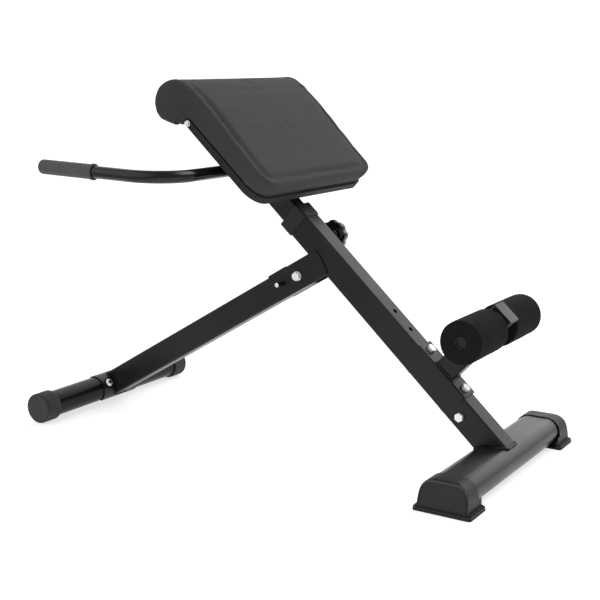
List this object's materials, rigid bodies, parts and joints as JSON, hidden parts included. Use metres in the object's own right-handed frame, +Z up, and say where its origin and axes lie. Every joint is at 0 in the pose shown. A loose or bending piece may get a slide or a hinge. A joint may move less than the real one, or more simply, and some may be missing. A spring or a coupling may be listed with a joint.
{
  "type": "roman chair",
  "caption": "Angled back-extension bench with a wide hip pad, side grips, foam ankle rollers, a telescoping seat post and a folding rear leg.",
  "frame": {"origin": "centre of the footprint's bounding box, on the floor", "axes": "+X from the rear cross tube to the front foot, +Y to the side with the pull-pin knob, +Z up"},
  "size_m": [1.1376, 0.7848, 0.7881],
  "materials": {
    "powder_coat": "satin black powder coat with a fine grain",
    "post_steel": "satin black powder coat",
    "boot_rubber": "matt moulded rubber",
    "grip_rubber": "matt soft grip",
    "roller_foam": "matt closed-cell foam",
    "pad_vinyl": "grained vinyl upholstery",
    "board_wrap": "grained vinyl stretched over board",
    "black_plastic": "satin moulded plastic",
    "knob_plastic": "gloss moulded plastic",
    "zinc": "bright zinc plate"
  },
  "bodies": {
    "frame": {"front_base_tube": "powder_coat", "front_boot_near": "boot_rubber", "front_boot_far": "boot_rubber", "base_stub": "powder_coat", "base_weld": "powder_coat", "main_beam": "powder_coat", "beam_collar": "black_plastic", "base_bolt": "zinc", "base_nut": "zinc", "leg_bracket": "powder_coat", "pivot_bolt": "zinc", "pivot_washer_near": "zinc", "pivot_washer_far": "zinc", "pivot_nut": "zinc", "lock_bolt": "zinc", "pin_housing": "zinc", "roller_bracket": "powder_coat", "roller_post": "powder_coat", "roller_post_cap": "black_plastic", "roller_axle": "powder_coat", "axle_plug_near": "black_plastic", "axle_plug_far": "black_plastic", "roller_bolt_lower": "zinc", "roller_bolt_upper": "zinc", "roller_nut_lower": "zinc", "roller_nut_upper": "zinc"},
    "rear_leg": {"leg_tube": "powder_coat", "rear_saddle": "powder_coat", "rear_cross_tube": "powder_coat", "rear_cap_near": "boot_rubber", "rear_cap_far": "boot_rubber", "saddle_bolt_near": "zinc", "saddle_bolt_far": "zinc", "saddle_nut_near": "zinc", "saddle_nut_far": "zinc"},
    "seat": {"seat_post": "post_steel", "seat_post_plug": "black_plastic", "pad_bracket_lower": "powder_coat", "pad_bracket_upper": "powder_coat", "pad_screw_lower_near": "zinc", "pad_screw_lower_far": "zinc", "pad_screw_upper_near": "zinc", "pad_screw_upper_far": "zinc", "pad_board": "board_wrap", "board_bolt_near": "zinc", "board_bolt_far": "zinc", "pad_cushion": "pad_vinyl", "handle_bar": "powder_coat", "handle_grip_near": "grip_rubber", "handle_grip_far": "grip_rubber"},
    "plunger": {"pull_pin": "zinc", "pull_knob": "knob_plastic", "pin_spring": "zinc"},
    "roller_near": {"foam_roller_near": "roller_foam"},
    "roller_far": {"foam_roller_far": "roller_foam"}
  },
  "joints": [
    {"name": "leg_fold", "type": "hinge", "parent": "frame", "child": "rear_leg", "pos_m": [0.042, 0, 0.3673], "axis": [0, -1, 0], "range_deg": [0, 95]},
    {"name": "seat_slide", "type": "slide", "parent": "frame", "child": "seat", "axis": [-0.7342, 0, 0.6789], "range_m": [-0.02, 0.12]},
    {"name": "pin_pull", "type": "slide", "parent": "frame", "child": "plunger", "axis": [0, 1, 0], "range_m": [0, 0.009], "stiffness_N_per_m": 900, "springref_m": -0.004, "deforming": ["pin_spring"]},
    {"name": "roller_spin_near", "type": "hinge", "parent": "frame", "child": "roller_near", "pos_m": [0.48732, 0, 0.30024], "axis": [0, 1, 0], "continuous": true},
    {"name": "roller_spin_far", "type": "hinge", "parent": "frame", "child": "roller_far", "pos_m": [0.48732, 0, 0.30024], "axis": [0, 1, 0], "continuous": true}
  ]
}
